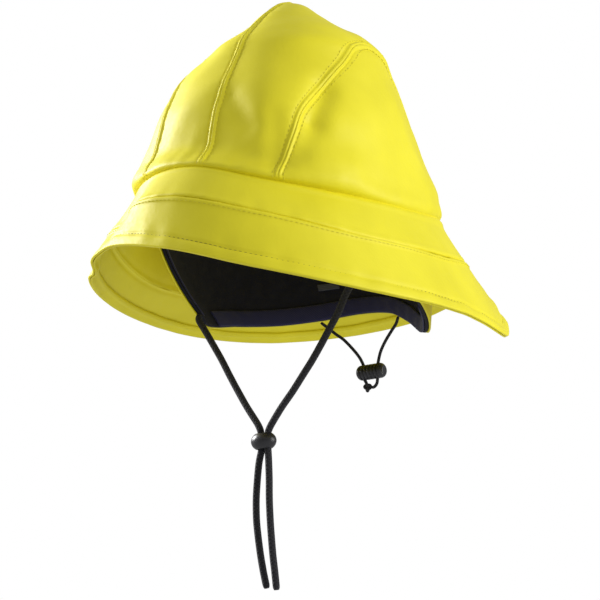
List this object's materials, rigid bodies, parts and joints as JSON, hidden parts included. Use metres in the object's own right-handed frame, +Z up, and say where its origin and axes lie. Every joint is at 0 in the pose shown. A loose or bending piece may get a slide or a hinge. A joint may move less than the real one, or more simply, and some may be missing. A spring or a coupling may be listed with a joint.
{
  "type": "rain hat",
  "caption": "Rain hat with a tall four-panel crown, a wide drooping brim, a fleece-lined ear and neck flap, and chin and nape cords with locks.",
  "frame": {"origin": "middle of the head opening, level with the mean height of the seam between crown and brim", "axes": "+Z up through the crown, -Y towards the brow (front), +X towards the wearer's left"},
  "size_m": [0.244, 0.264, 0.3478],
  "materials": {
    "coated_cloth": "hi-vis yellow polyurethane-coated knit, satin, slightly rubbery",
    "fleece": "very dark navy brushed fleece, matt",
    "binding": "dark navy woven casing strip, matt",
    "label_tape": "plain grey woven tape, bare",
    "cord": "black braided polyester cord",
    "black_plastic": "black moulded nylon, satin"
  },
  "bodies": {
    "root": {"crown_strip_left": "coated_cloth", "crown_strip_right": "coated_cloth", "crown_side_left": "coated_cloth", "crown_side_right": "coated_cloth", "brim_band": "coated_cloth", "brim": "coated_cloth", "brim_hem": "coated_cloth", "flap_outer": "coated_cloth", "flap_fleece": "fleece", "nape_casing": "binding", "label": "label_tape", "chin_cord_right": "cord", "chin_cord_left": "cord", "chin_tail_right": "cord", "chin_tail_left": "cord", "chin_cord_lock": "black_plastic", "draw_cord_right": "cord", "draw_cord_left": "cord", "draw_cord_loop": "cord", "draw_cord_stub": "cord", "draw_cord_knot": "cord", "draw_cord_lock": "black_plastic"}
  },
  "joints": []
}
